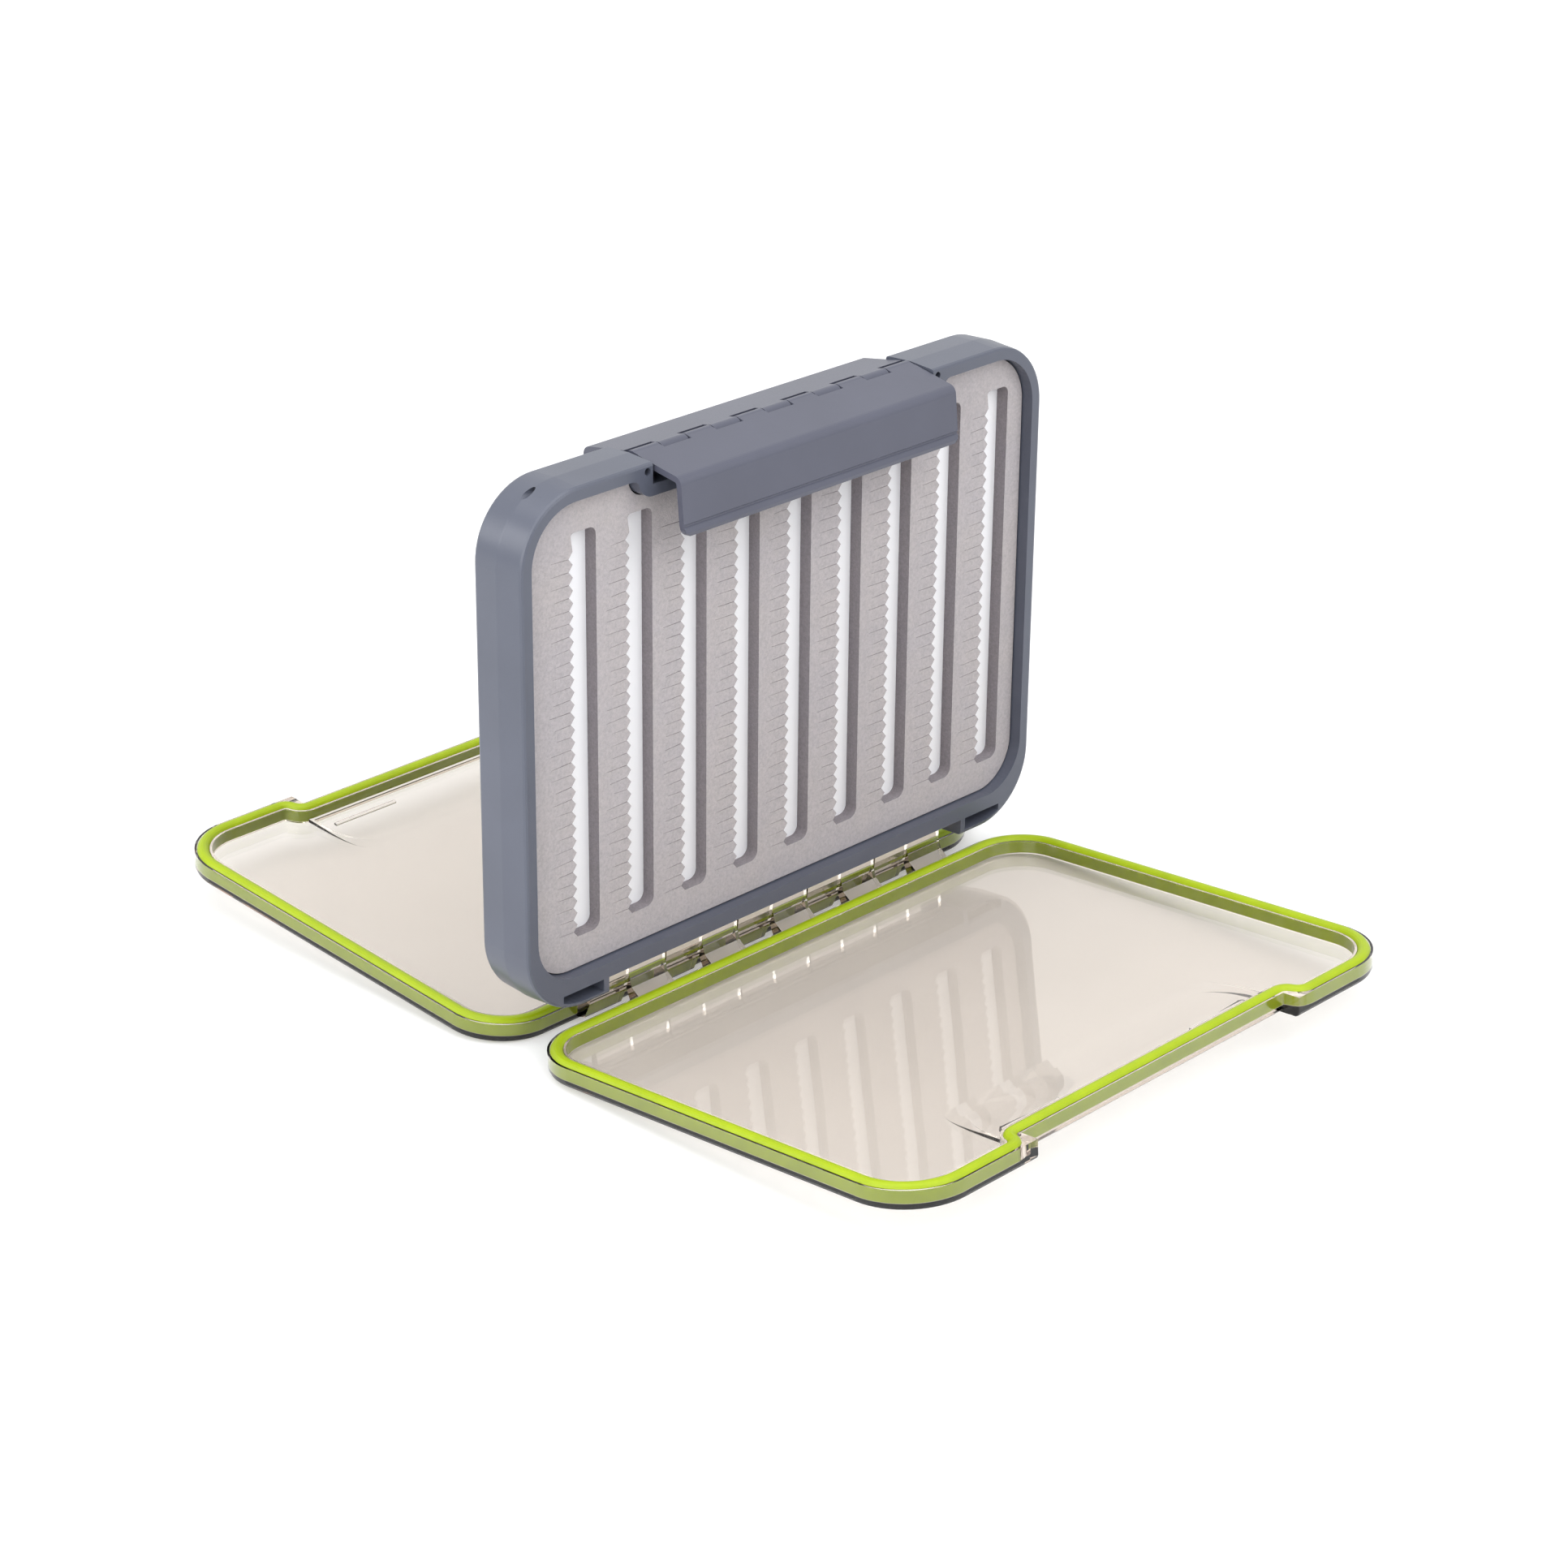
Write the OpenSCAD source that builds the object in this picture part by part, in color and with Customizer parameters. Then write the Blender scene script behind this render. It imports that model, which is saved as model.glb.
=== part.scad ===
// Two-sided fly box: an upright frame with a slotted foam panel on each face,
// a clear gasketed lid hinged on each side, and a pair of latches on one pin.
// +X is the width, the front faces -Y, +Z is up. The origin lies on the table
// under the middle of the frame, and both lids are shown folded open.
// Flat pieces are drawn in a flat layout (x, height, distance from the middle
// of the frame) and then stood upright.

/* [Frame] */
// Width of the frame
frame_w = 190; // [170:1:220]
// Height of the frame
frame_h = 139.2; // [125:0.1:160]
// Thickness of the frame, face to face
frame_t = 16.8; // [15.4:0.1:20]
// Radius of the frame's outer corners
frame_r = 19; // [17:0.5:24]
// How far the parting line stands out of the side wall
frame_draft = 0.45; // [0:0.05:0.8]
// Rounding of the frame's edges
frame_edge = 0.8; // [0.4:0.1:1.2]
// Wall left round the moulded pockets in the bottom corners
pocket_wall = 1.2; // [0.9:0.1:1.6]
// Thickness of the web between a pocket and the hinge notch
pocket_web = 1.8; // [1.2:0.1:3]
// Length of a pocket
pocket_len = 14; // [8:0.5:16]
// Depth of a pocket
pocket_depth = 6; // [3:0.5:6.5]

/* [Sealing line] */
// Distance of the gasket's centre line from the frame's side
seal_side = 2.4; // [2.3:0.1:3.4]
// Height of the gasket's centre line over the frame's bottom edge
seal_bottom = 7.6; // [7.4:0.1:10]
// Corner radius of the gasket at the hinge side
seal_r_hinge = 14.4; // [10:0.2:20]
// Corner radius of the gasket at the latch side
seal_r_latch = 16; // [10:0.2:20]
// Bend radius of the gasket's step behind the latch
seal_step_r = 3.6; // [3.2:0.05:4]
// Distance from the end of the latch recess to the middle of the gasket's step
seal_step_gap = 3.5; // [3:0.1:6]
// Width of the frame's rim inside the gasket's centre line
rim_in = 1.1; // [0.6:0.1:2]

/* [Foam and centre plate] */
// Depth of the foam's face behind the frame's face
foam_recess = 3.4; // [2:0.1:4.5]
// Thickness of a foam panel
foam_t = 3.8; // [2.5:0.1:4.2]
// Gap between the foam and the rim
foam_gap = 0.4; // [0.1:0.05:0.6]
// Number of slots in a foam panel
slot_count = 9; // [5:1:9]
// Width of a slot
slot_w = 8.4; // [6:0.1:9]
// Foam left beside the first slot
slot_left = 15.9; // [12:0.1:18]
// Foam left beside the last slot
slot_right = 6.3; // [4:0.1:10]
// Foam left below the slots
slot_below = 8.9; // [6:0.1:14]
// Foam left above the slots
slot_above = 4.3; // [3:0.1:8]
// Radius of a slot's round corners
slot_r = 3.6; // [1:0.1:4]
// Distance between the teeth along a slot
tooth_pitch = 3.35; // [2.5:0.05:5]
// Depth of the teeth
tooth_depth = 1.3; // [0.6:0.1:2]

/* [Lids] */
// Height of a lid's rim, from its outer face to its flange
lid_rim_h = 5.5; // [5:0.1:7]
// Gap that the gasket keeps between the flange and the frame
lid_gap = 1.1; // [0.6:0.1:1.5]
// Thickness of the lid's window
lid_wall = 1.8; // [1.4:0.1:2.4]
// Height of the lid's hinge side over the frame's bottom edge
lid_bottom = 5.2; // [4.8:0.1:5.5]
// Width of the lip on each side of the gasket
lid_lip = 0.65; // [0.5:0.05:1.2]
// Bevel round the outer face
lid_edge = 1.2; // [0.6:0.1:1.6]
// Angle from the closed lid to the open lid
open_angle = 85.6; // [80:0.1:89]

/* [Gasket] */
// Width of the gasket
gasket_w = 3.4; // [2.6:0.1:3.6]
// Depth of the gasket's groove
groove_depth = 3.6; // [2.5:0.1:3.9]
// Gap on each side of the gasket in its groove
groove_gap = 0.05; // [0.02:0.01:0.15]

/* [Lid hinge] */
// Height of the hinge pin over the frame's bottom edge
hinge_h = 1.6; // [1.5:0.1:2]
// Radius of the hinge pin
hinge_pin_r = 0.8; // [0.6:0.05:0.9]
// Length of the hinge pin held in the frame at each end
hinge_pin_grip = 8.5; // [6:0.5:12]
// Radius of the hinge arms' barrels
hinge_barrel_r = 1.6; // [1.4:0.05:1.8]
// Half the length of the notch for the hinge
notch_half = 67.4; // [60:0.1:68]
// Height of the notch
notch_h = 4.6; // [4.2:0.1:4.8]
// Number of hinge arms on each lid
arm_count = 5; // [3:1:7]
// Gap between neighbouring hinge arms
arm_gap = 0.3; // [0.2:0.05:0.8]

/* [Latches] */
// Distance of the latch pin below the frame's top edge
latch_inset = 1.6; // [1.4:0.1:2]
// Radius of the latch pin
latch_pin_r = 1; // [0.7:0.05:1.1]
// Distance from the frame's side to the latch pin's end
latch_pin_inset = 13; // [12:0.5:20]
// Length of the latch pin held past the far end of the recess
latch_pin_grip = 9.5; // [6:0.5:14]
// Room past the end of a pin in a blind bore
bore_end_gap = 0.5; // [0.2:0.1:1]
// Radius of the latch knuckles
latch_barrel_r = 2.3; // [2:0.05:2.4]
// Radius of the round hole in each end block of the recess
end_hole_r = 1; // [0.6:0.1:1.1]
// Distance from the recess to the middle of that hole
end_hole_gap = 1.8; // [1.6:0.1:3]
// Depth of that hole
end_hole_depth = 4; // [2:0.5:6]
// Half the width of a latch
latch_half = 50.4; // [44:0.1:50.6]
// Gap at each end of a latch
latch_end_gap = 0.6; // [0.4:0.1:1]
// Thickness of the latch's shell
latch_t = 1.6; // [1.2:0.1:2]
// Drop of the latch's top panel from the pin to its front
latch_drop = 2.4; // [1:0.1:2.6]
// Rounding of the bend between the top panel and the front
latch_bend = 2.4; // [2.2:0.1:3]
// Radius of the latch's lower corners
latch_corner = 3; // [1:0.5:5]
// How far each end of the latch is drawn in towards the front
latch_taper = 0.3; // [0.1:0.1:1.2]
// Gap between a knuckle and the other latch's panel
panel_gap = 0.35; // [0.2:0.05:0.8]
// Height of the latch's front panel below the pin
latch_reach = 17.5; // [16:0.1:20]
// Number of knuckles on both latches together
knuckle_count = 11; // [7:2:15]
// Gap between the closed latch and the lid
latch_gap = 0.3; // [0.2:0.05:0.6]
// How far the latches hang out of their closed position
latch_hang = 5.5; // [0:0.5:8]
// Gap between neighbouring knuckles
knuckle_gap = 0.26; // [0.16:0.02:0.6]

/* [Catch] */
// Depth of the hollow in the lid behind the latch
scoop_depth = 1; // [0.6:0.1:1.4]
// Height of the hollow
scoop_h = 4.8; // [4.6:0.1:8]
// Length of the slope at the hollow's lower edge
scoop_ramp = 1.4; // [0.8:0.1:3]
// Radius of the hollow's round corners
scoop_r = 4; // [2:0.5:4.5]
// Gap between the hollow's upper edge and the catch bars
bar_gap = 0.5; // [0.3:0.1:1]
// Width of a catch bar
bar_w = 1; // [0.8:0.1:1.4]
// Width of the rib that snaps under the catch bars
hook_w = 1.5; // [1:0.1:1.6]
// Distance from the latch's ends to the ends of that rib
hook_inset = 5; // [3:0.5:12]
// Length of a catch bar
bar_len = 22; // [14:1:26]
// Distance from the middle to the near end of a catch bar
bar_x = 25.5; // [18:0.5:28]

/* [Hidden] */
$fn = 64;
grey = "#70747f";
arc_step = 6;
over = 1;
pin_fit = 0.06;
seat_fit = 0.02;

half_t = frame_t / 2;
flange_z = half_t + lid_gap;
lid_z = flange_z + lid_rim_h;
floor_z = lid_z - lid_wall;
groove_w = gasket_w + 2 * groove_gap;
wall_in = groove_w / 2 + lid_lip;
foam_z = half_t - foam_recess;
septum_half = foam_z - foam_t;
recess_half = latch_half + latch_end_gap;
latch_h = frame_h - latch_inset;
seal_step_x = recess_half + seal_step_gap;
step_turn = acos(0.28);
seal_step = 2 * seal_step_r * (1 - cos(step_turn));
seal_half = frame_w / 2 - seal_side;
seal_top = frame_h - seal_side;
seal_low = seal_top - seal_step;
// Floor of the latch recess, as far over the stepped seal as the side rim is
recess_floor = seal_low + seal_side - 0.4;
recess_edge = seal_low + wall_in;
scoop_top = seal_low - groove_w / 2 - 0.5;
scoop_bottom = scoop_top - scoop_h;
bar_top = scoop_top - bar_gap;
latch_in = lid_z + latch_gap;
latch_out = latch_in + latch_t;
panel_start = latch_barrel_r + panel_gap;

// The frame stands on the lids' lower edges, so their angle sets its height
frame_z = lid_z * sin(open_angle) - (lid_bottom + lid_edge - hinge_h) * cos(open_angle) - hinge_h;

// A path is a list of runs: [0, length] is straight, [radius, angle] turns,
// to the left for a positive angle. It starts at the bottom, heading for +X.
frame_path = rounded_path(frame_w / 2, 0, frame_h, frame_r, frame_r);
lid_path = rounded_path(frame_w / 2, lid_bottom, frame_h, seal_r_hinge + seal_side, seal_r_latch + seal_side);
step_run = 2 * seal_step_r * sin(step_turn);
seal_path = [
    [0, seal_half - seal_r_hinge],
    [seal_r_hinge, 90],
    [0, seal_top - seal_bottom - seal_r_hinge - seal_r_latch],
    [seal_r_latch, 90],
    [0, seal_half - seal_r_latch - seal_step_x - step_run / 2],
    [seal_step_r, step_turn],
    [seal_step_r, -step_turn],
    [0, 2 * seal_step_x - step_run],
    [seal_step_r, -step_turn],
    [seal_step_r, step_turn],
    [0, seal_half - seal_r_latch - seal_step_x - step_run / 2],
    [seal_r_latch, 90],
    [0, seal_top - seal_bottom - seal_r_hinge - seal_r_latch],
    [seal_r_hinge, 90],
    [0, seal_half - seal_r_hinge]];

function rounded_path(half, low, high, r_low, r_high) = [
    [0, half - r_low],
    [r_low, 90],
    [0, high - low - r_low - r_high],
    [r_high, 90],
    [0, 2 * (half - r_high)],
    [r_high, 90],
    [0, high - low - r_low - r_high],
    [r_low, 90],
    [0, half - r_low]];

// Unit vector to the left of a heading
function left(h) = [-sin(h), cos(h)];

// Points of a path moved to its left by a
function trace(path, a, i = 0, at = [0, 0], h = 0) =
    i >= len(path) ? [] :
    path[i][0] == 0 ?
        concat([at + a * left(h)],
               trace(path, a, i + 1, at + path[i][1] * [cos(h), sin(h)], h)) :
        let (r = path[i][0],
             turn = path[i][1],
             side = sign(turn),
             mid = at + side * r * left(h),
             n = ceil(abs(turn) / arc_step))
        concat([for (k = [0 : n - 1])
                    let (g = h + turn * k / n) mid + (a - side * r) * left(g)],
               trace(path, a, i + 1, mid - side * r * left(h + turn), h + turn));

// A bend that isn't square laps over the next run by a hair, so that they join
function seam(turn) = abs(turn) == 90 ? 0 : 0.0005;

// Sweeps a profile of [distance to the left, depth] along a path
module follow(profile, path, i = 0) {
    if (i < len(path)) {
        r = path[i][0];
        turn = path[i][1];
        if (r == 0) {
            rotate([90, 0, 90]) linear_extrude(turn) polygon(profile);
            translate([turn, 0, 0]) follow(profile, path, i + 1);
        } else if (turn > 0) {
            translate([0, r, 0]) rotate([0, 0, -90])
                rotate_extrude(angle = turn + seam(turn))
                    polygon([for (p = profile) [r - p[0], p[1]]]);
            translate([r * sin(turn), r * (1 - cos(turn)), 0]) rotate([0, 0, turn])
                follow(profile, path, i + 1);
        } else {
            translate([0, -r, 0]) rotate([0, 0, 90 + turn])
                rotate_extrude(angle = seam(turn) - turn)
                    polygon([for (p = profile) [r + p[0], p[1]]]);
            translate([-r * sin(turn), r * (cos(turn) - 1), 0]) rotate([0, 0, turn])
                follow(profile, path, i + 1);
        }
    }
}

// Outline of everything inside a path moved to its left by a
module inside(path, low, a) {
    translate([0, low]) polygon(trace(path, a));
}

// Stands the flat layout upright in the frame's place
module upright() {
    translate([0, 0, frame_z]) rotate([90, 0, 0]) children();
}

// Turns a front piece round to the rear
module to_rear() {
    rotate([0, 0, 180]) children();
}

// Turns an upright piece about a line along X at a height over the frame's bottom
module turned(height, angle) {
    translate([0, 0, frame_z + height]) rotate([angle, 0, 0])
        translate([0, 0, -frame_z - height]) children();
}

// Round bar along X in the flat layout
module bar_along_x(r, x0, x1, height) {
    translate([x0, height, 0]) rotate([0, 90, 0]) cylinder(r = r, h = x1 - x0);
}

// Profile of [height, depth] drawn out along X
module along_x(x0, x1, profile) {
    translate([x0, 0, 0]) rotate([90, 0, 90]) linear_extrude(x1 - x0) polygon(profile);
}

// ---- frame ----

hinge_pin_end = notch_half + hinge_pin_grip;

frame_profile = [
    [frame_r, -half_t],
    [frame_edge, -half_t],
    [frame_edge * 0.3, -half_t + frame_edge * 0.3],
    [0, -half_t + frame_edge],
    [-frame_draft, -0.2],
    [-frame_draft, 0.2],
    [0, half_t - frame_edge],
    [frame_edge * 0.3, half_t - frame_edge * 0.3],
    [frame_edge, half_t],
    [frame_r, half_t]];

module frame_body() {
    follow(frame_profile, frame_path);
}

module corner_pocket() {
    intersection() {
        inside(frame_path, 0, pocket_wall);
        translate([notch_half + pocket_web, 0]) square([pocket_len, notch_h]);
    }
}

module frame_cuts() {
    translate([0, 0, -half_t - over]) linear_extrude(frame_t + 2 * over)
        inside(seal_path, seal_bottom, rim_in);
    translate([-notch_half, -over, -half_t - over])
        cube([2 * notch_half, notch_h + over, frame_t + 2 * over]);
    translate([-recess_half, recess_floor, -half_t - over])
        cube([2 * recess_half, frame_h - recess_floor + over, frame_t + 2 * over]);
    for (side = [0, 1], face = [0, 1]) {
        mirror([side, 0, 0]) mirror([0, 0, face]) {
            translate([0, 0, half_t - pocket_depth]) linear_extrude(pocket_depth + over)
                corner_pocket();
            translate([recess_half + end_hole_gap, latch_h - 0.4, half_t - end_hole_depth])
                cylinder(r = end_hole_r, h = end_hole_depth + over);
        }
    }
    bar_along_x(hinge_pin_r + seat_fit, -hinge_pin_end - bore_end_gap,
                hinge_pin_end + bore_end_gap, hinge_h);
    bar_along_x(latch_pin_r + seat_fit, -frame_w / 2,
                recess_half + latch_pin_grip + bore_end_gap, latch_h);
}

module frame() {
    color(grey) upright() difference() {
        frame_body();
        frame_cuts();
    }
}

module septum() {
    color("white") upright() translate([0, 0, -septum_half]) linear_extrude(2 * septum_half)
        inside(seal_path, seal_bottom, rim_in + seat_fit);
}

// ---- foam ----

foam_half = seal_half - rim_in;
slot_low = seal_bottom + rim_in + slot_below;
slot_high = seal_low - rim_in - slot_above;
slot_l = slot_high - slot_low;
slot_x = -foam_half + slot_left + slot_w / 2;
slot_pitch = (2 * foam_half - slot_left - slot_right - slot_w) / (slot_count - 1);

// Outline of one slot: teeth down its left side, a straight right side
module slot() {
    teeth = floor((slot_l - slot_r) / tooth_pitch);
    bottom = -slot_l / 2;
    toothed = [for (i = [teeth - 1 : -1 : 0], tip = [1, 0])
        [-slot_w / 2 + (tip == 1 ? tooth_depth / 2 : -tooth_depth / 2),
         bottom + (i + (tip == 1 ? 1 : 0.5)) * tooth_pitch]];
    low_arc = [for (a = [-90 : 15 : 0])
        [slot_w / 2 - slot_r + slot_r * cos(a), bottom + slot_r + slot_r * sin(a)]];
    high_arc = [for (a = [0 : 15 : 150])
        [slot_w / 2 - slot_r + slot_r * cos(a), -bottom - slot_r + slot_r * sin(a)]];
    polygon(concat(toothed, [[-slot_w / 2 + tooth_depth / 2, bottom]], low_arc, high_arc));
}

module foam_panel() {
    translate([0, 0, septum_half]) linear_extrude(foam_t) difference() {
        inside(seal_path, seal_bottom, rim_in + foam_gap);
        for (i = [0 : slot_count - 1])
            translate([slot_x + i * slot_pitch, (slot_low + slot_high) / 2]) slot();
    }
}

module front_foam() {
    color("#b7b2b6") upright() foam_panel();
}

module rear_foam() {
    color("#b7b2b6") to_rear() upright() foam_panel();
}

// ---- lids ----

arm_w = 2 * (notch_half - 2 * arm_gap) / (2 * arm_count);

// Rim of the lid, with a bevel round its outer face
lid_rim = seal_r_hinge;
lid_profile = [
    [0, flange_z],
    [lid_rim, flange_z],
    [lid_rim, lid_z],
    [lid_edge, lid_z],
    [lid_edge * 0.3, lid_z - lid_edge * 0.35],
    [0, lid_z - lid_edge]];

// A hinge arm runs from the lid's wall under the frame's rail to the pin
arm_profile = [
    [hinge_h - hinge_barrel_r * 0.94, 0],
    [hinge_h - hinge_barrel_r * 0.86, 5],
    [hinge_h - hinge_barrel_r * 0.4, half_t + 0.4],
    [hinge_h + hinge_barrel_r * 0.5, lid_z - lid_edge - 1],
    [lid_bottom + 0.4, lid_z - lid_edge],
    [lid_bottom + 0.4, flange_z + 0.3],
    [hinge_h + hinge_barrel_r * 0.85, half_t - 0.8],
    [hinge_h + hinge_barrel_r * 0.4, half_t / 2],
    [hinge_h + hinge_barrel_r * 0.6, 0]];

module hinge_arms() {
    for (i = [0 : arm_count - 1]) {
        x0 = -notch_half + 2 * arm_gap + (2 * i + 1) * arm_w + arm_gap / 2;
        difference() {
            union() {
                along_x(x0, x0 + arm_w - arm_gap, arm_profile);
                bar_along_x(hinge_barrel_r, x0, x0 + arm_w - arm_gap, hinge_h);
            }
            bar_along_x(hinge_pin_r + pin_fit, x0 - over, x0 + arm_w + over, hinge_h);
        }
    }
}

// Hollow behind the latch; grow widens it and lift moves it inwards
module scoop(grow, lift) {
    half = recess_half + grow;
    low = scoop_bottom - grow * 0.4;
    deep = lid_z - scoop_depth - lift;
    round_end = [for (a = [0 : 15 : 90])
        [half - scoop_r + scoop_r * cos(a), low + scoop_r - scoop_r * sin(a)]];
    intersection() {
        along_x(-half - over, half + over, [
            [scoop_top + grow, lid_z + over],
            [scoop_top + grow, deep],
            [low + scoop_ramp, deep],
            [low + 0.2, lid_z - lift],
            [low, lid_z + over]]);
        translate([0, 0, lid_z - 10]) linear_extrude(20) polygon(concat(
            [[half, scoop_top + grow + over]],
            round_end,
            [for (i = [len(round_end) - 1 : -1 : 0]) [-round_end[i][0], round_end[i][1]]],
            [[-half, scoop_top + grow + over]]));
    }
}

module catch_bars() {
    for (side = [0, 1])
        mirror([side, 0, 0]) translate([bar_x, bar_top - bar_w, lid_z - scoop_depth - 0.3])
            cube([bar_len, bar_w, scoop_depth + 0.2]);
}

module lid_tray() {
    difference() {
        union() {
            difference() {
                union() {
                    translate([0, lid_bottom, 0]) follow(lid_profile, lid_path);
                    translate([0, 0, floor_z - 0.5]) linear_extrude(lid_wall + 0.5)
                        inside(lid_path, lid_bottom, lid_rim / 2);
                }
                translate([-recess_half, recess_edge, flange_z - over])
                    cube([2 * recess_half, seal_step + seal_side, lid_rim_h + 2 * over]);
                along_x(-recess_half, recess_half, [
                    [recess_edge - lid_edge * 0.8, lid_z + over],
                    [recess_edge - lid_edge * 0.8, lid_z],
                    [recess_edge, lid_z - lid_edge * 0.8],
                    [recess_edge + over, lid_z - lid_edge * 0.8],
                    [recess_edge + over, lid_z + over]]);
                translate([0, 0, flange_z - over]) linear_extrude(floor_z - flange_z + over)
                    inside(seal_path, seal_bottom, wall_in);
            }
            intersection() {
                scoop(lid_wall, lid_wall);
                translate([0, 0, flange_z]) linear_extrude(lid_rim_h - lid_wall / 2)
                    inside(seal_path, seal_bottom, wall_in - 0.2);
            }
        }
        scoop(0, 0);
        translate([0, seal_bottom, 0]) follow([
            [-groove_w / 2, flange_z - over],
            [groove_w / 2, flange_z - over],
            [groove_w / 2, flange_z + groove_depth],
            [-groove_w / 2, flange_z + groove_depth]], seal_path);
    }
    catch_bars();
}

module lid() {
    lid_tray();
    hinge_arms();
}

module front_lid() {
    color("#e4ddd3", 0.4) turned(hinge_h, open_angle) upright() lid();
}

module rear_lid() {
    color("#e4ddd3", 0.4) to_rear() turned(hinge_h, open_angle) upright() lid();
}

// ---- gaskets ----

bead_z = half_t + 0.05 + gasket_w / 2;
gasket_profile = concat(
    [for (a = [0 : 22.5 : 180]) [gasket_w / 2 * cos(a), bead_z - gasket_w / 2 * sin(a)]],
    [[-gasket_w / 2, flange_z + groove_depth - groove_gap],
     [gasket_w / 2, flange_z + groove_depth - groove_gap]]);

module gasket() {
    translate([0, seal_bottom, 0]) follow(gasket_profile, seal_path);
}

module front_gasket() {
    color("#c9e321") turned(hinge_h, open_angle) upright() gasket();
}

module rear_gasket() {
    color("#c9e321") to_rear() turned(hinge_h, open_angle) upright() gasket();
}

// ---- latches ----

knuckle_w = 2 * latch_half / knuckle_count;
panel_slope = atan((latch_barrel_r + latch_drop) / latch_out);
hook_top = bar_top - bar_w - latch_gap;
bend_h = latch_h - latch_drop - latch_bend * tan((90 - panel_slope) / 2);
bend_steps = 6;

// Height of the top panel's outer face at a distance from the pin
function panel_top(d) = latch_h + latch_barrel_r - tan(panel_slope) * d;

// Height of the top panel's inner face
function panel_low(d) = panel_top(d) - latch_t / cos(panel_slope);

// Point of the bend at an angle from the front
function bend(r, a) = [bend_h + r * sin(a), latch_out - latch_bend + r * cos(a)];

// Shell from its upper edge over the bend to the lip, closed position
latch_profile = concat(
    [[panel_top(panel_start), panel_start]],
    [for (i = [bend_steps : -1 : 0]) bend(latch_bend, (90 - panel_slope) * i / bend_steps)],
    [[latch_h - latch_reach + 3.4, latch_out],
     [latch_h - latch_reach + 3.1, latch_out - 0.35],
     [latch_h - latch_reach + 2.7, latch_out - 0.35],
     [latch_h - latch_reach + 2.3, latch_out + 0.15],
     [latch_h - latch_reach + 1.2, latch_out + 0.35],
     [latch_h - latch_reach + 0.3, latch_out + 0.1],
     [latch_h - latch_reach, latch_out - 0.5],
     [latch_h - latch_reach, latch_in + 0.2],
     [latch_h - latch_reach + 0.4, latch_in]],
    [for (i = [0 : bend_steps])
        bend(latch_bend - latch_t, (90 - panel_slope) * i / bend_steps)],
    [[panel_low(panel_start), panel_start]]);

// Rib that snaps under the catch bars
module hook_rib() {
    along_x(hook_inset - latch_half, latch_half - hook_inset, [
        [hook_top, latch_in + 0.3],
        [hook_top - hook_w, latch_in + 0.3],
        [hook_top - hook_w, latch_in],
        [hook_top - hook_w / 2, latch_in - scoop_depth],
        [hook_top, latch_in - scoop_depth]]);
}

// Rounds the lower corners and draws the ends in towards the front
module latch_trim() {
    for (side = [0, 1])
        mirror([side, 0, 0]) {
            translate([0, latch_h - 2 * latch_reach, 0]) rotate([-90, 0, 0])
                linear_extrude(4 * latch_reach)
                polygon([[latch_half, -panel_start - 1], [latch_half + 9, -panel_start - 1],
                         [latch_half + 9, -latch_out - 9], [latch_half - latch_taper, -latch_out - 9],
                         [latch_half - latch_taper, -latch_out]]);
            translate([latch_half - latch_taper - latch_corner,
                       latch_h - latch_reach + latch_corner, latch_in - 4])
                linear_extrude(latch_t + 9) difference() {
                    translate([0, -latch_corner - over]) square([latch_corner + 9, latch_corner + over]);
                    circle(latch_corner);
                }
        }
}

// first is 0 for the front latch and 1 for the rear one, so that they interleave
module latch(first) {
    difference() {
        union() {
            along_x(-latch_half, latch_half, latch_profile);
            hook_rib();
            for (i = [first : 2 : knuckle_count - 1]) {
                x0 = -latch_half + i * knuckle_w + knuckle_gap / 2;
                x1 = x0 + knuckle_w - knuckle_gap;
                bar_along_x(latch_barrel_r, x0, x1, latch_h);
                along_x(x0, x1, [
                    [panel_top(0) - 0.06, 0.3],
                    [panel_top(panel_start + 0.5), panel_start + 0.5],
                    [panel_low(panel_start + 0.5), panel_start + 0.5],
                    [latch_h - 0.5, 0.3]]);
            }
        }
        latch_trim();
        bar_along_x(latch_pin_r + pin_fit, -latch_half - over, latch_half + over, latch_h);
    }
}

module front_latch() {
    color(grey) turned(latch_h, -latch_hang) upright() latch(0);
}

module rear_latch() {
    color(grey) to_rear() turned(latch_h, -latch_hang) upright() latch(1);
}

// ---- pins ----

module lid_pin() {
    color("silver") upright()
        bar_along_x(hinge_pin_r, -hinge_pin_end, hinge_pin_end, hinge_h);
}

module latch_pin() {
    color("silver") upright()
        bar_along_x(latch_pin_r, latch_pin_inset - frame_w / 2,
                    recess_half + latch_pin_grip, latch_h);
}

frame();
septum();
front_foam();
rear_foam();
front_lid();
rear_lid();
front_gasket();
rear_gasket();
front_latch();
rear_latch();
lid_pin();
latch_pin();
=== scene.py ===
import bpy
import bmesh
import math
import random
from mathutils import Matrix, Vector
from mathutils.geometry import delaunay_2d_cdt


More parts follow.
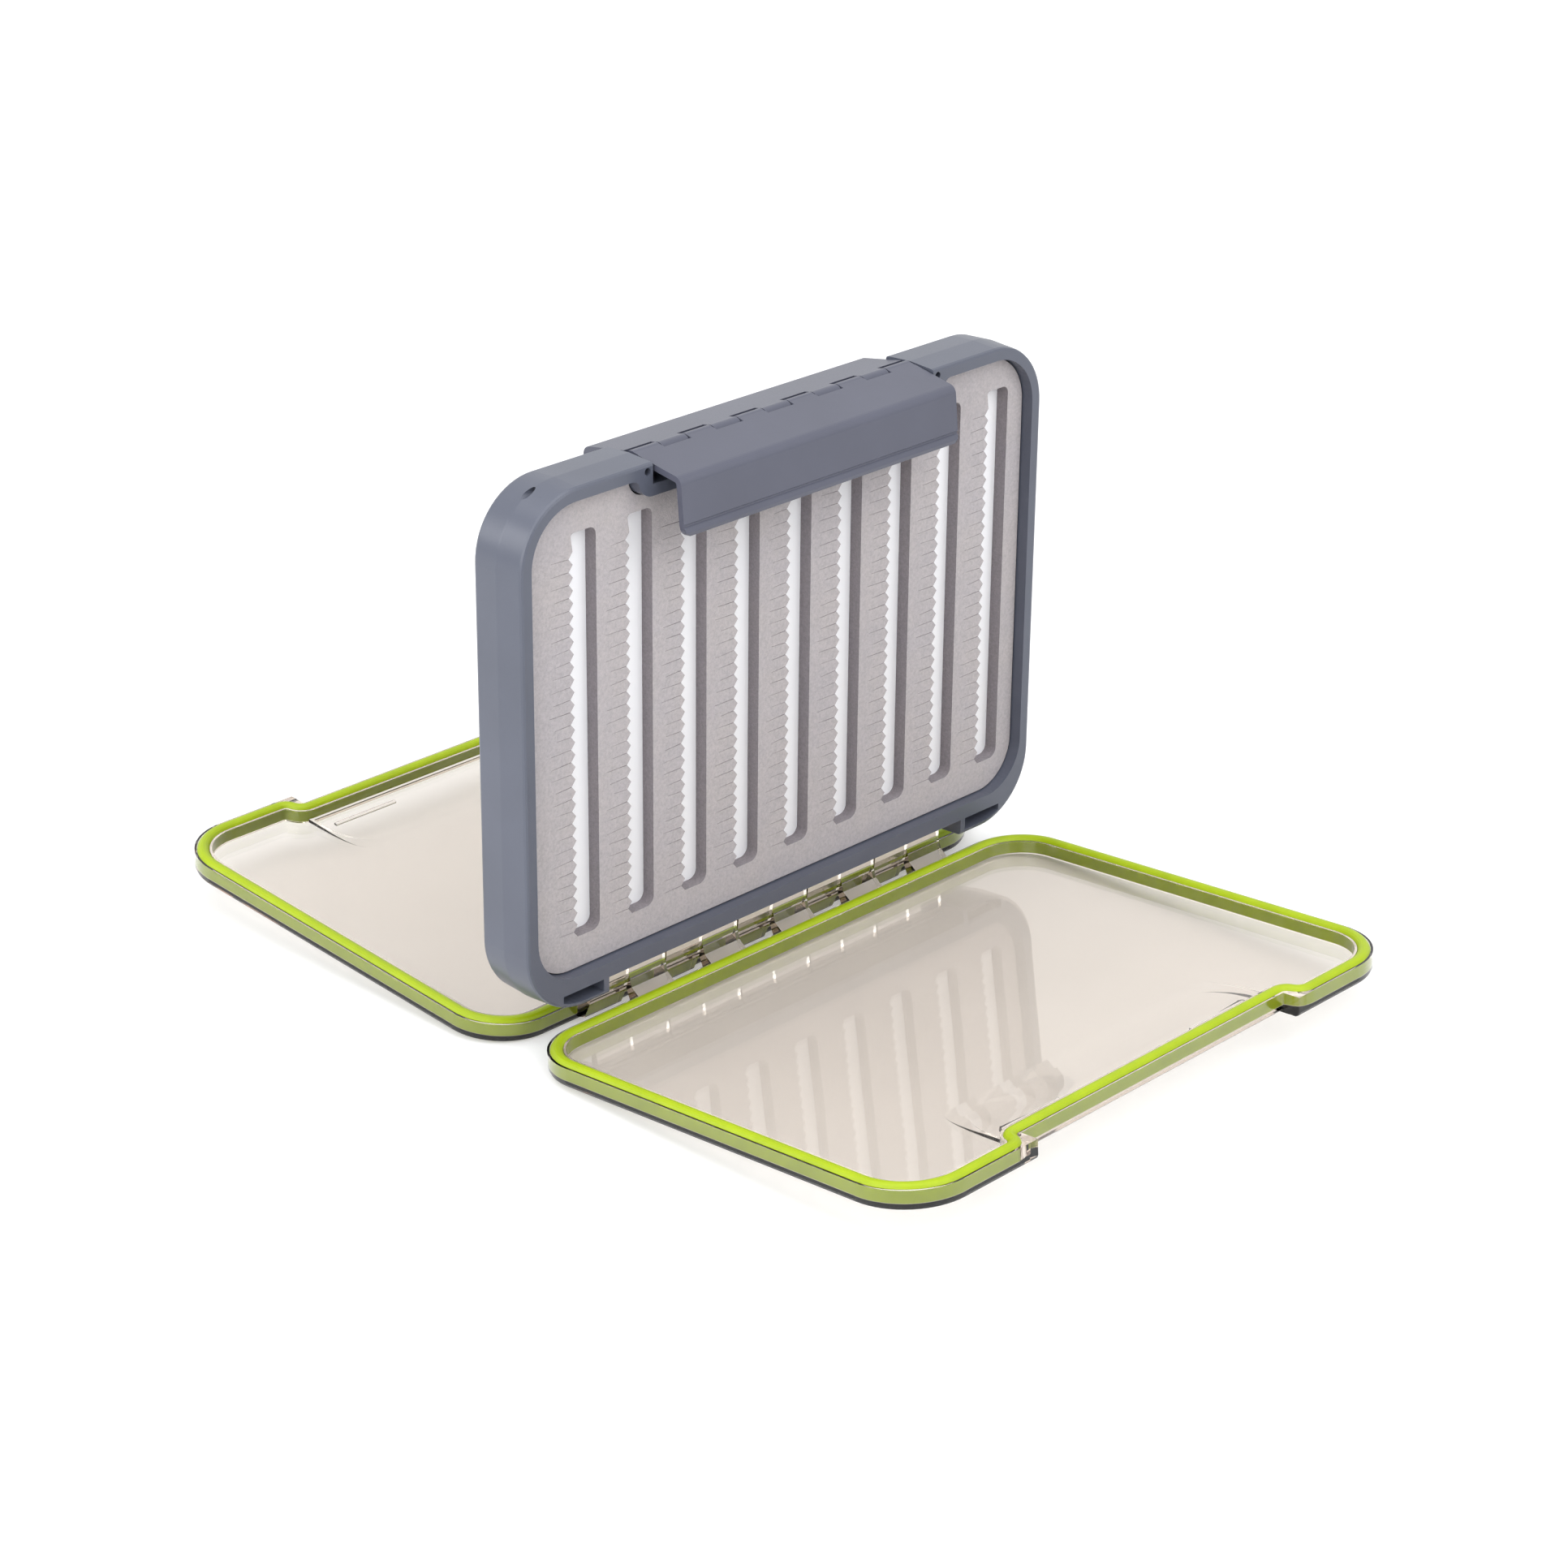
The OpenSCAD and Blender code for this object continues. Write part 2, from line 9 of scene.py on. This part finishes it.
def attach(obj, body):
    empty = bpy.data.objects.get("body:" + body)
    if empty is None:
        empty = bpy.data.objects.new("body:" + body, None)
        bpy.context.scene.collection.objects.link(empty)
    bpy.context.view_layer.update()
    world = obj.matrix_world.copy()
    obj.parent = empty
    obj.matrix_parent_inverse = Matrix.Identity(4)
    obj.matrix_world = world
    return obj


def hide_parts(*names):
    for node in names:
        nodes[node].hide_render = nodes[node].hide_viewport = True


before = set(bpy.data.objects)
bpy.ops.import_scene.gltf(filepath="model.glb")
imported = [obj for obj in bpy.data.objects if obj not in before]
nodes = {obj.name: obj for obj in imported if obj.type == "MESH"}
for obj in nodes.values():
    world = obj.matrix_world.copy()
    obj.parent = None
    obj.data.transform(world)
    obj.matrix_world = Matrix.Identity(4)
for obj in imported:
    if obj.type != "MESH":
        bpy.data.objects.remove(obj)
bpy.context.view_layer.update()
scene = bpy.context.scene

# The foam and the lids are worked out in millimetres. Everything else is in metres.
MM = 0.001
FRAME_Z = 12.9876          # height of the frame's bottom edge over the table
TINY = 1e-7                # metres within which two points are one
WHITE = (1, 1, 1, 1)


def put(name, data):
    """A new object in the scene."""
    o = bpy.data.objects.new(name, data)
    scene.collection.objects.link(o)
    return o


# ---- materials ----

# Sockets of a Mix node that mixes colours.
MIX_A, MIX_B, MIX_RESULT = 6, 7, 2
# How far the grain of moulded plastic takes its roughness down and up.
GRAIN_DOWN, GRAIN_UP = 0.05, 0.07


def linear(rgb):
    """Scene colour of an 8-bit sRGB colour."""
    out = []
    for v in rgb:
        v /= 255.0
        out.append(v / 12.92 if v <= 0.04045 else ((v + 0.055) / 1.055) ** 2.4)
    return (*out, 1.0)


class Nodes:
    """The node tree of a material or a world, with short calls to add nodes and links."""

    def __init__(self, owner, output="ShaderNodeOutputMaterial"):
        self.owner = owner
        owner.use_nodes = True
        self.tree = owner.node_tree
        self.tree.nodes.clear()
        self.out = self.add(output)

    def add(self, kind, **inputs):
        n = self.tree.nodes.new(kind)
        for key, value in inputs.items():
            n.inputs[key.replace("_", " ")].default_value = value
        return n

    def link(self, a, out, b, inp):
        self.tree.links.new(a.outputs[out], b.inputs[inp])

    def coords(self):
        return self.add("ShaderNodeTexCoord")

    def operation(self, name, kind="ShaderNodeMath"):
        n = self.add(kind)
        n.operation = name
        return n

    def noise(self, source, out="Object", **inputs):
        n = self.add("ShaderNodeTexNoise", **inputs)
        self.link(source, out, n, "Vector")
        return n

    def bump(self, source, out="Fac", **inputs):
        n = self.add("ShaderNodeBump", **inputs)
        self.link(source, out, n, "Height")
        return n

    def ramp(self, source, colours, low=0.3, high=0.7):
        """Two or three colours by a noise, spread evenly from low to high."""
        n = self.add("ShaderNodeValToRGB")
        stops = n.color_ramp.elements
        stops[0].position, stops[0].color = low, colours[0]
        stops[1].position, stops[1].color = high, colours[-1]
        for colour in colours[1:-1]:
            stops.new((low + high) / 2).color = colour
        self.link(source, "Fac", n, "Fac")
        return n

    def principled(self, source, bump, out="Color", **inputs):
        """The surface, with its colour from a node's output and a bump."""
        n = self.add("ShaderNodeBsdfPrincipled", **inputs)
        self.link(source, out, n, "Base Color")
        self.link(bump, "Normal", n, "Normal")
        self.link(n, "BSDF", self.out, "Surface")
        return n


def moulded(name, rgb, roughness, grain=0.35, spread=0.06):
    """Moulded plastic: soft clouding of the colour, fine grain in the gloss and the surface."""
    n = Nodes(bpy.data.materials.new(name))
    c = n.coords()
    base = linear(rgb)
    lo = tuple(v * (1 - spread) for v in base[:3]) + (1,)
    hi = tuple(min(1, v * (1 + spread)) for v in base[:3]) + (1,)
    cloud = n.noise(c, Scale=38.0, Detail=4.0, Roughness=0.55)
    tint = n.ramp(cloud, [lo, hi])
    fine = n.noise(c, Scale=2600.0, Detail=3.0, Roughness=0.6)
    rough = n.add("ShaderNodeMapRange", To_Min=roughness - GRAIN_DOWN,
                  To_Max=roughness + GRAIN_UP)
    n.link(fine, "Fac", rough, "Value")
    bump = n.bump(fine, Strength=grain, Distance=0.00003)
    s = n.principled(tint, bump, IOR=1.5)
    n.link(rough, "Result", s, "Roughness")
    return n.owner


def foam_material(name, dark, mid, light):
    """Closed-cell foam: fine cells, faint mottling and a dull skin."""
    n = Nodes(bpy.data.materials.new(name))
    c = n.coords()
    cells = n.add("ShaderNodeTexVoronoi", Scale=3400.0)
    n.link(c, "Object", cells, "Vector")
    grain = n.noise(c, Scale=1500.0, Detail=6.0, Roughness=0.7)
    mottle = n.noise(c, Scale=60.0, Detail=5.0, Roughness=0.6)
    tint = n.ramp(grain, [linear(dark), linear(mid), linear(light)])
    warm = n.ramp(mottle, [linear((250, 249, 251)), linear((254, 252, 251))], 0.35, 0.65)
    mix = n.add("ShaderNodeMix")
    mix.data_type = "RGBA"
    mix.blend_type = "MULTIPLY"
    mix.inputs["Factor"].default_value = 1.0
    n.link(tint, "Color", mix, MIX_A)
    n.link(warm, "Color", mix, MIX_B)
    height = n.operation("ADD")
    n.link(cells, "Distance", height, 0)
    n.link(grain, "Fac", height, 1)
    bump = n.bump(height, "Value", Strength=0.55, Distance=0.00012)
    n.principled(mix, bump, MIX_RESULT, Roughness=0.95, IOR=1.3,
                 Sheen_Weight=0.15, Sheen_Roughness=0.6)
    return n.owner


def clear_material(name):
    """Clear, slightly smoky polycarbonate: darker where the light runs a long way inside."""
    n = Nodes(bpy.data.materials.new(name))
    flow = n.noise(n.coords(), Scale=22.0, Detail=2.0, Roughness=0.5)
    bump = n.bump(flow, Strength=0.12, Distance=0.0004)
    tint = n.ramp(flow, [(0.93, 0.91, 0.88, 1), (0.95, 0.93, 0.90, 1)])
    n.principled(tint, bump, Roughness=0.02, IOR=1.5, Transmission_Weight=1.0)
    smoke = n.add("ShaderNodeVolumeAbsorption", Density=60.0, Color=(0.66, 0.42, 0.2, 1))
    n.link(smoke, "Volume", n.out, "Volume")
    return n.owner


def rubber_material(name):
    """Soft rubber: faint clouding, a little light let in."""
    n = Nodes(bpy.data.materials.new(name))
    c = n.coords()
    cloud = n.noise(c, Scale=120.0, Detail=4.0, Roughness=0.6)
    tint = n.ramp(cloud, [linear((154, 176, 3)), linear((166, 188, 6))])
    fine = n.noise(c, Scale=3000.0, Detail=2.0, Roughness=0.6)
    bump = n.bump(fine, Strength=0.2, Distance=0.00003)
    n.principled(tint, bump, Roughness=0.42, IOR=1.42, Subsurface_Weight=0.15,
                 Subsurface_Radius=(0.0012, 0.0014, 0.0004), Subsurface_Scale=1.0)
    return n.owner


def steel_material(name):
    """Drawn wire: fine lines across its length."""
    n = Nodes(bpy.data.materials.new(name))
    stretch = n.add("ShaderNodeMapping", Scale=(4.0, 900.0, 900.0))
    n.link(n.coords(), "Object", stretch, "Vector")
    lines = n.noise(stretch, "Vector", Scale=3.0, Detail=4.0, Roughness=0.6)
    tint = n.ramp(lines, [(0.42, 0.42, 0.43, 1), (0.6, 0.6, 0.61, 1)])
    bump = n.bump(lines, Strength=0.3, Distance=0.00002)
    n.principled(tint, bump, Metallic=1.0, Roughness=0.3)
    return n.owner


grey = moulded("grey_plastic_moulded", (86, 90, 103), 0.29)
latch_grey = moulded("latch_plastic_moulded", (81, 83, 97), 0.32)
white = moulded("white_plastic_sheet", (251, 251, 255), 0.45, grain=0.15, spread=0.012)
foam_mat = foam_material("slotted_foam", (163, 159, 161), (178, 173, 175), (190, 185, 186))
# The darker foam of the cut sides is partly the cut foam's own tone and partly painted shade,
# standing in for the shade in the deep slots and along the rim.
foam_cut_and_painted_shade = foam_material("cut_foam_and_painted_shade", (122, 117, 120), (136, 130, 134), (148, 142, 145))
clear = clear_material("clear_polycarbonate")
rubber = rubber_material("gasket_rubber")
steel = steel_material("pin_wire")


def dress(mesh, mat):
    """One material for a whole mesh that may have others."""
    mesh.materials.clear()
    mesh.materials.append(mat)


for dressed, mat in (("frame", grey), ("septum", white),
                     ("front_gasket", rubber), ("rear_gasket", rubber),
                     ("front_latch", latch_grey), ("rear_latch", latch_grey),
                     ("lid_pin", steel), ("latch_pin", steel)):
    dress(nodes[dressed].data, mat)


# ---- foam with its slits ----

# The seal's path, in the plane of the frame: half its width, its lowest and highest edge,
# the radii of its lower and upper corners, and its steps on both sides of the latch.
HALF, BOTTOM, TOP = 92.6, 7.6, 136.8
R_HINGE, R_LATCH = 14.4, 16.0
STEP_X, STEP_R, STEP_COS, STEP_SIN = 54.5, 3.6, 0.28, 0.96
TURN = math.degrees(math.acos(STEP_COS))
RUN = 2 * STEP_R * STEP_SIN
ARC_STEP = 3.0                            # degrees between two points of an arc

FOAM_INSET = 1.5                          # from the seal's path to the foam's edge
FOAM_BACK, FOAM_FRONT = 1.2, 5.0          # from the middle of the frame to the foam's faces
SLOTS, SLOT_PITCH = 9, 19.05
SLOT_X, SLOT_Z = 4.8, 71.9                # middle of the middle slot
SLOT_WIDTH, SLOT_LENGTH = 8.4, 108.6
LOW_RADIUS, HIGH_RADIUS, TOOTH_RADIUS = 2.6, 2.0, 1.2      # the slot's corners
CORNER_STEP = 10                          # degrees between two points of such a corner
TOOTH_PITCH, TOOTH_DEPTH = 3.35, 1.3
NO_TEETH = 2.2                            # length of a slot that is left without teeth
SLIT_SEED = 11
SLIT_HALF = (0.045, 0.075)                # half the width at the notch, least and most
SLIT_LENGTH = (4.6, 7.2)
SLIT_LEAN = (-0.28, 0.28)
SLIT_TAPER = 0.5

HULL_TRIANGLES = 0                        # kind of result asked of the triangulation
FLAT_TOLERANCE = 1e-6                     # mm within which it takes two points as one


def seal_path():
    """Runs (0, length) and arcs (radius, turn) from the middle of the bottom, anticlockwise."""
    side = TOP - BOTTOM - R_HINGE - R_LATCH
    shoulder = HALF - R_LATCH - STEP_X - RUN / 2
    half = [(0, HALF - R_HINGE), (R_HINGE, 90), (0, side), (R_LATCH, 90), (0, shoulder),
            (STEP_R, TURN), (STEP_R, -TURN)]
    back = [(0, 2 * STEP_X - RUN), (STEP_R, -TURN), (STEP_R, TURN), (0, shoulder),
            (R_LATCH, 90), (0, side), (R_HINGE, 90), (0, HALF - R_HINGE)]
    return half + back


def trace(path, a):
    """Points of a path moved to its left by a."""
    pts, x, y, h = [], 0.0, 0.0, 0.0
    for r, turn in path:
        ch, sh = math.cos(math.radians(h)), math.sin(math.radians(h))
        if r == 0:
            pts.append((x - a * sh, y + a * ch))
            x, y = x + turn * ch, y + turn * sh
            continue
        side = 1 if turn > 0 else -1
        cx, cy = x - side * r * sh, y + side * r * ch
        count = math.ceil(abs(turn) / ARC_STEP)
        for k in range(count):
            g = math.radians(h + turn * k / count)
            pts.append((cx - (a - side * r) * math.sin(g), cy + (a - side * r) * math.cos(g)))
        h += turn
        g = math.radians(h)
        x, y = cx + side * r * math.sin(g), cy - side * r * math.cos(g)
    return pts


def corner(x, y, r, start):
    """A quarter of a circle, anticlockwise from the angle start."""
    angles = [math.radians(a) for a in range(start, start + 91, CORNER_STEP)]
    return [(x + r * math.cos(a), y + r * math.sin(a)) for a in angles]


def slot_outline(cx, cy, rnd):
    """One slot, anticlockwise: its right side is straight, its corners are round, and its
    left side has teeth with a slit behind each notch."""
    side, end = SLOT_WIDTH / 2, SLOT_LENGTH / 2
    tip, notch = -side + TOOTH_DEPTH / 2, -side - TOOTH_DEPTH / 2
    pts = [(tip, -end)]
    pts += corner(side - LOW_RADIUS, -end + LOW_RADIUS, LOW_RADIUS, -90)
    pts += corner(side - HIGH_RADIUS, end - HIGH_RADIUS, HIGH_RADIUS, 0)
    # This corner's last two points would lie in the first tooth.
    pts += corner(-side + TOOTH_RADIUS, end - TOOTH_RADIUS, TOOTH_RADIUS, 90)[:-2]
    for i in reversed(range(math.floor((SLOT_LENGTH - NO_TEETH) / TOOTH_PITCH))):
        y = -end + (i + 0.5) * TOOTH_PITCH
        half = rnd.uniform(*SLIT_HALF)
        far = notch - rnd.uniform(*SLIT_LENGTH)
        lean = rnd.uniform(*SLIT_LEAN)
        thin = half * SLIT_TAPER
        pts.append((tip, -end + (i + 1) * TOOTH_PITCH))
        pts += [(notch, y + half), (far, y + lean + thin),
                (far, y + lean - thin), (notch, y - half)]
    return [(cx + x, cy + y) for x, y in pts]


def foam_panel(name, node, turn):
    """The panel of one side, made for the front and turned round for the rear."""
    rnd = random.Random(SLIT_SEED)
    loops = [[(x, y + BOTTOM) for x, y in trace(seal_path(), FOAM_INSET)]]
    loops += [slot_outline(SLOT_X + (i - SLOTS // 2) * SLOT_PITCH, SLOT_Z, rnd)
              for i in range(SLOTS)]
    points, edges, faces = [], [], []
    for loop in loops:
        ring = range(len(points), len(points) + len(loop))
        points += [Vector(p) for p in loop]
        edges += [(k, k + 1 if k + 1 in ring else ring[0]) for k in ring]
        faces.append(list(ring))
    points, _, faces, _, _, inside = delaunay_2d_cdt(
        points, edges, faces, HULL_TRIANGLES, FLAT_TOLERANCE)

    bm = bmesh.new()
    vb, vf = ([bm.verts.new((v.x * MM, -out * MM, (FRAME_Z + v.y) * MM)) for v in points]
              for out in (FOAM_BACK, FOAM_FRONT))
    sides = {}
    for f, loops_round in zip(faces, inside):
        if loops_round != [0]:            # it lies in a slot, or outside the panel
            continue
        bm.faces.new([vf[i] for i in f])
        bm.faces.new([vb[i] for i in reversed(f)])
        for a, b in zip(f, f[1:] + f[:1]):
            sides.setdefault(frozenset((a, b)), []).append((a, b))
    for pair in sides.values():
        if len(pair) == 1:                # an edge of the panel or of a slot
            a, b = pair[0]
            bm.faces.new([vf[b], vf[a], vb[a], vb[b]]).material_index = 1
    loose = [v for v in bm.verts if not v.link_faces]
    bmesh.ops.delete(bm, geom=loose, context="VERTS")
    bmesh.ops.recalc_face_normals(bm, faces=bm.faces)
    me = bpy.data.meshes.new(name)
    bm.to_mesh(me)
    bm.free()
    if turn:
        me.transform(Matrix.Rotation(math.pi, 4, "Z"))
    me.materials.append(foam_mat)
    me.materials.append(foam_cut_and_painted_shade)         # the cut sides, which have the material index 1: a darker foam, partly the cut foam's own tone and partly painted shade in the deep slots and along the rim
    o = put(name, me)
    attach(o, "frame")
    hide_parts(node)


foam_panel("front_foam_slit", "front_foam", False)
foam_panel("rear_foam_slit", "rear_foam", True)


# ---- lids with their long, soft hollow behind the latch ----

# Places in a lid are given as x, height and distance outward, as in the closed box.
OPEN = math.radians(85.6)
PIN_UP = 1.6                              # the hinge pin over the frame's bottom edge
PIN_Z = FRAME_Z + PIN_UP
NEAR_X = 52.9                             # the hollow's part of the wall: how far it goes
NEAR_LOW, NEAR_HIGH = 123.5, 130          # to each side, its heights,
NEAR_OUT = 11.9                           # and its least distance outward
HOLLOW_TOP = 129.22
MARGIN = 0.01                             # under its top, which stays where it is
REACH = 4.2                               # how many times further down the hollow reaches
OUTSIDE, INSIDE = (15.0, 124.77), (13.2, 124.05)     # a wall's face, and its hollow's end
MIDDLE = 13.5                             # between both faces of the wall
ON_FACE = 0.001                           # within this of the face, a point is on it
SCOOP_TOP = 129.37                        # where the hollow has its full depth, 1 mm
END_FROM, END_TO, END_WIDE = 47, 51, 40   # its ends, and where the wider ones begin
END_STRETCH = (END_TO - END_WIDE) / (END_TO - END_FROM)

# The heights at which the hollow is cut into rows. The catch bars stand in the row between
# the third last and the second last.
ROWS = [124.9 + 0.35 * k for k in range(9)] + [128.95, 129.1]
BAR_X, BAR_LEVELS = (25.4, 47.6), (127.8, 128.95)
BAR_OUT, BAR_CREST = 13.7, 14.5           # a bar is beyond the first, its foot within the second
BAR_MOVE = 4.0                            # how much further down the bars are

SAME_PLANE = math.radians(0.05)
SHARP = math.radians(35)
LARGE_FACE = 15e-6                        # square metres from which a face is drawn flat
FLOOR_UP, FLOOR_SIDE = 0.75, 0.3          # the most that a floor's normal leans up and sideways


def to_flat(p):
    """A point of the open front lid as (x, height, outward) of the closed box, in mm."""
    x, y, z = (c / MM for c in p)
    return (x, PIN_UP - y * math.sin(OPEN) + (z - PIN_Z) * math.cos(OPEN),
            -y * math.cos(OPEN) - (z - PIN_Z) * math.sin(OPEN))


def from_flat(x, u, w):
    up = u - PIN_UP
    return Vector((x, -(w * math.cos(OPEN) + up * math.sin(OPEN)),
                   PIN_Z + up * math.cos(OPEN) - w * math.sin(OPEN))) * MM


def near_hollow(x, u, w):
    return abs(x) <= NEAR_X and NEAR_LOW <= u < NEAR_HIGH and w >= NEAR_OUT


def in_hollow(x, u, w):
    return near_hollow(x, u, w) and u < HOLLOW_TOP - MARGIN


def depth(u, end):
    """Depth of the hollow at a height, in mm: 1 at its top, and none at its end."""
    t = min(1.0, max(0.0, (SCOOP_TOP - u) / (SCOOP_TOP - end)))
    return (1 + math.cos(math.pi * t)) / 2


def stretched(u):
    return HOLLOW_TOP - (HOLLOW_TOP - u) * REACH


def bar_foot(u):
    """Level of the flat strip that carries the catch bars, at a height already stretched."""
    face, end = OUTSIDE
    low, high = ROWS[-3], ROWS[-2]
    k = (u - stretched(low)) / (stretched(high) - stretched(low))
    return face - depth(low, end) * (1 - k) - depth(high, end) * k


def softened(x, u, w):
    """The moulded hollow: full depth near the latch, fading out downwards, with wide ends."""
    face, end = OUTSIDE if w > MIDDLE else INSIDE
    a = abs(x)
    if BAR_X[0] <= a <= BAR_X[1] and BAR_LEVELS[0] <= u <= BAR_LEVELS[1] and w > BAR_OUT:
        u -= BAR_MOVE
        return x, u, bar_foot(u) if w < BAR_CREST else w
    if w < face - ON_FACE:
        w = face - depth(u, end)
    if END_FROM < a <= END_TO:
        a = END_WIDE + (a - END_FROM) * END_STRETCH
    return math.copysign(a, x), stretched(u), w


def faces_near_hollow(bm):
    return [f for f in bm.faces if all(near_hollow(*to_flat(v.co)) for v in f.verts)]


def lid_moulding(name, node, turn):
    """A lid's own mesh with the softened hollow. The rear lid is worked on turned round."""
    me = nodes[node].data.copy()
    me.name = name
    # The smooth faces and sharp edges set below take the place of the custom normals.
    me.attributes.remove(me.attributes["custom_normal"])
    half_turn = Matrix.Rotation(math.pi, 4, "Z")
    if turn:
        me.transform(half_turn)
    bm = bmesh.new()
    bm.from_mesh(me)
    bmesh.ops.remove_doubles(bm, verts=bm.verts, dist=TINY)
    bmesh.ops.dissolve_limit(bm, angle_limit=SAME_PLANE, verts=bm.verts, edges=bm.edges)
    for f in bm.faces:
        f.smooth = f.smooth and f.calc_area() < LARGE_FACE
    up = from_flat(0, 1, 0) - from_flat(0, 0, 0)
    for row in ROWS:
        near = faces_near_hollow(bm)
        edges = {e for f in near for e in f.edges}
        verts = {v for f in near for v in f.verts}
        bmesh.ops.bisect_plane(bm, geom=[*near, *edges, *verts], dist=TINY,
                               plane_co=from_flat(0, row, 0), plane_no=up)
    bmesh.ops.triangulate(bm, faces=bm.faces)
    up.normalize()
    for f in faces_near_hollow(bm):
        is_floor = abs(f.normal.dot(up)) < FLOOR_UP and abs(f.normal.x) < FLOOR_SIDE
        f.smooth = f.smooth or is_floor
    for v in bm.verts:
        flat = to_flat(v.co)
        if in_hollow(*flat):
            v.co = from_flat(*softened(*flat))
    for e in bm.edges:
        e.smooth = e.calc_face_angle(0.0) < SHARP
    bm.to_mesh(me)
    bm.free()
    if turn:
        me.transform(half_turn)
    dress(me, clear)
    o = put(name, me)
    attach(o, node)
    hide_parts(node)


lid_moulding("front_lid_moulding", "front_lid", False)
lid_moulding("rear_lid_moulding", "rear_lid", True)


# ---- floor, world and lamps ----

FLOOR_HALF, FLOOR_DROP = 6.0, 0.0001
PAPER = (0.80, 0.80, 0.80, 1)
SEEN_GLOW = 0.2                           # the floor's own light for every ray that is seen
NEAR, FAR = (0.35, 0.06), (1.3, 0.45)     # distance, and what is added there for the camera
SKY, SKY_STRENGTH = (0.97, 0.985, 1.0, 1), 0.62


def seen_rays(n):
    """1 for what is seen directly, in a reflection or through the clear lids."""
    path = n.add("ShaderNodeLightPath")
    shown = n.operation("MAXIMUM")
    n.link(path, "Is Camera Ray", shown, 0)
    n.link(path, "Is Glossy Ray", shown, 1)
    either = n.operation("MAXIMUM")
    n.link(shown, "Value", either, 0)
    n.link(path, "Is Transmission Ray", either, 1)
    return either


def floor_material(name):
    """Pale paper that turns into the white of the backdrop at a distance."""
    n = Nodes(bpy.data.materials.new(name))
    glow = n.operation("MULTIPLY")
    glow.inputs[1].default_value = SEEN_GLOW
    n.link(seen_rays(n), "Value", glow, 0)
    distance = n.operation("LENGTH", "ShaderNodeVectorMath")
    n.link(n.coords(), "Object", distance, 0)
    fade = n.add("ShaderNodeMapRange", From_Min=NEAR[0], To_Min=NEAR[1],
                 From_Max=FAR[0], To_Max=FAR[1])
    n.link(distance, "Value", fade, "Value")
    strength = n.operation("MULTIPLY_ADD")
    n.link(n.add("ShaderNodeLightPath"), "Is Camera Ray", strength, 0)
    n.link(fade, "Result", strength, 1)
    n.link(glow, "Value", strength, 2)
    light = n.add("ShaderNodeEmission", Color=WHITE)
    n.link(strength, "Value", light, "Strength")
    both = n.add("ShaderNodeAddShader")
    n.link(n.add("ShaderNodeBsdfDiffuse", Color=PAPER), "BSDF", both, 0)
    n.link(light, "Emission", both, 1)
    n.link(both, "Shader", n.out, "Surface")
    return n.owner


def make_floor():
    me = bpy.data.meshes.new("floor")
    bm = bmesh.new()
    bmesh.ops.create_grid(bm, x_segments=4, y_segments=4, size=FLOOR_HALF)
    bm.to_mesh(me)
    bm.free()
    me.materials.append(floor_material("floor_paper"))
    o = put("floor", me)
    o.location.z = -FLOOR_DROP


def make_world():
    n = Nodes(bpy.data.worlds.new("studio"), "ShaderNodeOutputWorld")
    scene.world = n.owner
    lit = n.add("ShaderNodeBackground", Color=SKY, Strength=SKY_STRENGTH)
    seen = n.add("ShaderNodeBackground", Color=WHITE, Strength=1.0)
    mix = n.add("ShaderNodeMixShader")
    n.link(seen_rays(n), "Value", mix, 0)
    n.link(lit, "Background", mix, 1)
    n.link(seen, "Background", mix, 2)
    n.link(mix, "Shader", n.out, "Surface")


def lamp(name, at, target, size, watts):
    d = bpy.data.lights.new(name, "AREA")
    d.shape = "RECTANGLE"
    d.size, d.size_y = size
    d.energy = watts
    o = put(name, d)
    o.location = at
    aim = Vector(target) - Vector(at)
    o.rotation_euler = aim.to_track_quat("-Z", "Y").to_euler()


make_floor()
make_world()
lamp("key", at=(0.15, -1.0, 0.95), target=(0, 0, 0.06), size=(1.2, 1.2), watts=9.8)
lamp("top", at=(-0.2, 0.1, 1.3), target=(0, 0, 0.06), size=(1.3, 1.3), watts=8.0)
lamp("fill", at=(-1.1, -0.1, 0.55), target=(0, 0, 0.07), size=(1.2, 0.9), watts=8.0)
lamp("corner", at=(-0.85, 0.8, 0.55), target=(-0.095, 0, 0.13), size=(0.3, 0.5), watts=2.0)


# ---- camera ----

# RIGHT, UP and BACK are the directions of the camera's own axes, and EYE is its place.
PICTURE_PX, FOCAL_PX = 1932.0, 4802.35    # the picture's width and the focal length
SENSOR = 36.0
CLIP = (0.01, 50.0)
RIGHT = (0.69403735, -0.71987784, 0.00938348)
UP = (0.29056041, 0.29200802, 0.91121126)
BACK = (-0.65870084, -0.62968819, 0.41183247)
EYE = (-0.67605035, -0.65110779, 0.47160279)

cam_data = bpy.data.cameras.new("camera")
cam_data.sensor_fit = "HORIZONTAL"
cam_data.sensor_width = SENSOR
cam_data.lens = FOCAL_PX / PICTURE_PX * SENSOR
cam_data.clip_start, cam_data.clip_end = CLIP
cam = put("camera", cam_data)
cam.matrix_world = Matrix((*zip(RIGHT, UP, BACK, EYE), (0, 0, 0, 1)))
scene.camera = cam
scene.view_settings.view_transform = "Standard"
